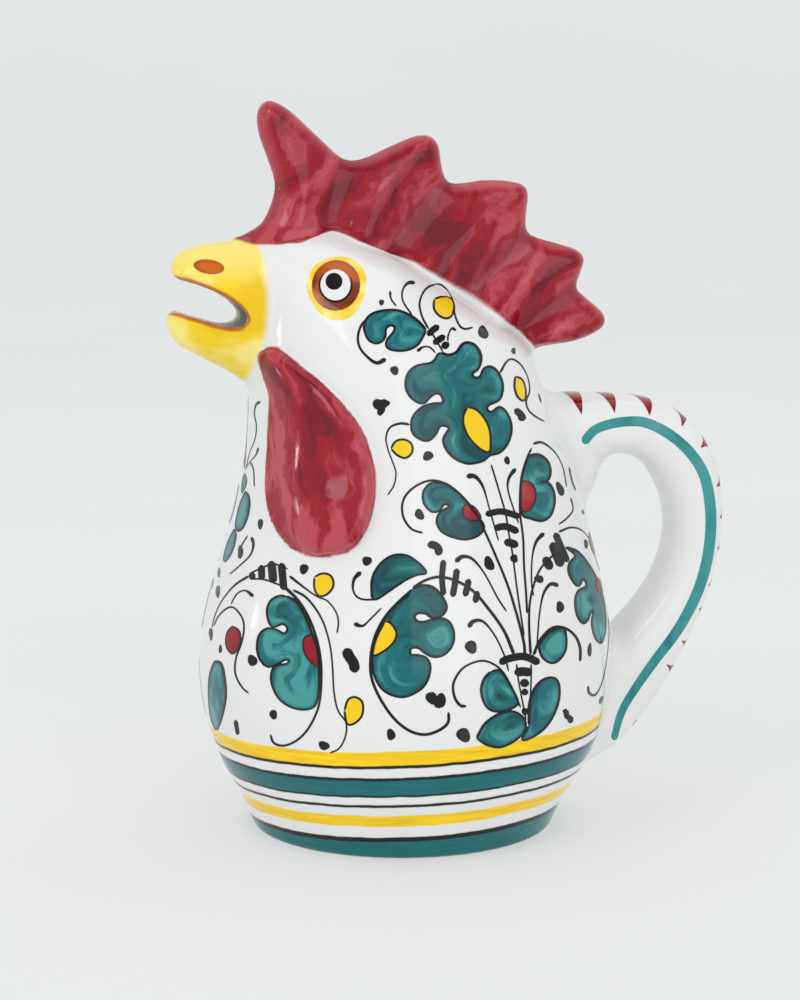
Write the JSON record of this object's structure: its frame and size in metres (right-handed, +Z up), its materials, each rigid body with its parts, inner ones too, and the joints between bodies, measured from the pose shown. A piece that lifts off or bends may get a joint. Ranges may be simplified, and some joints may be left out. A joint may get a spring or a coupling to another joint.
{
  "type": "pitcher",
  "caption": "Glazed ceramic pitcher shaped as a rooster, with an open beak for a spout, a tall comb, two wattles and a strap handle.",
  "frame": {"origin": "centre of the flat foot ring, on the surface that the pitcher stands on", "axes": "+Z up; -X the way the rooster looks and pours; +X towards the handle; +Y the rooster's right side"},
  "size_m": [0.1942, 0.143, 0.25],
  "materials": {
    "base": "glossy",
    "body": "glossy",
    "head": "glossy",
    "beak": "glossy",
    "comb": "glossy",
    "wattle": "glossy",
    "handle": "glossy"
  },
  "bodies": {
    "root": {"base": "base", "body": "body", "head": "head", "upper_beak": "beak", "lower_beak": "beak", "comb": "comb", "wattle_left": "wattle", "wattle_right": "wattle", "handle": "handle"}
  },
  "joints": []
}
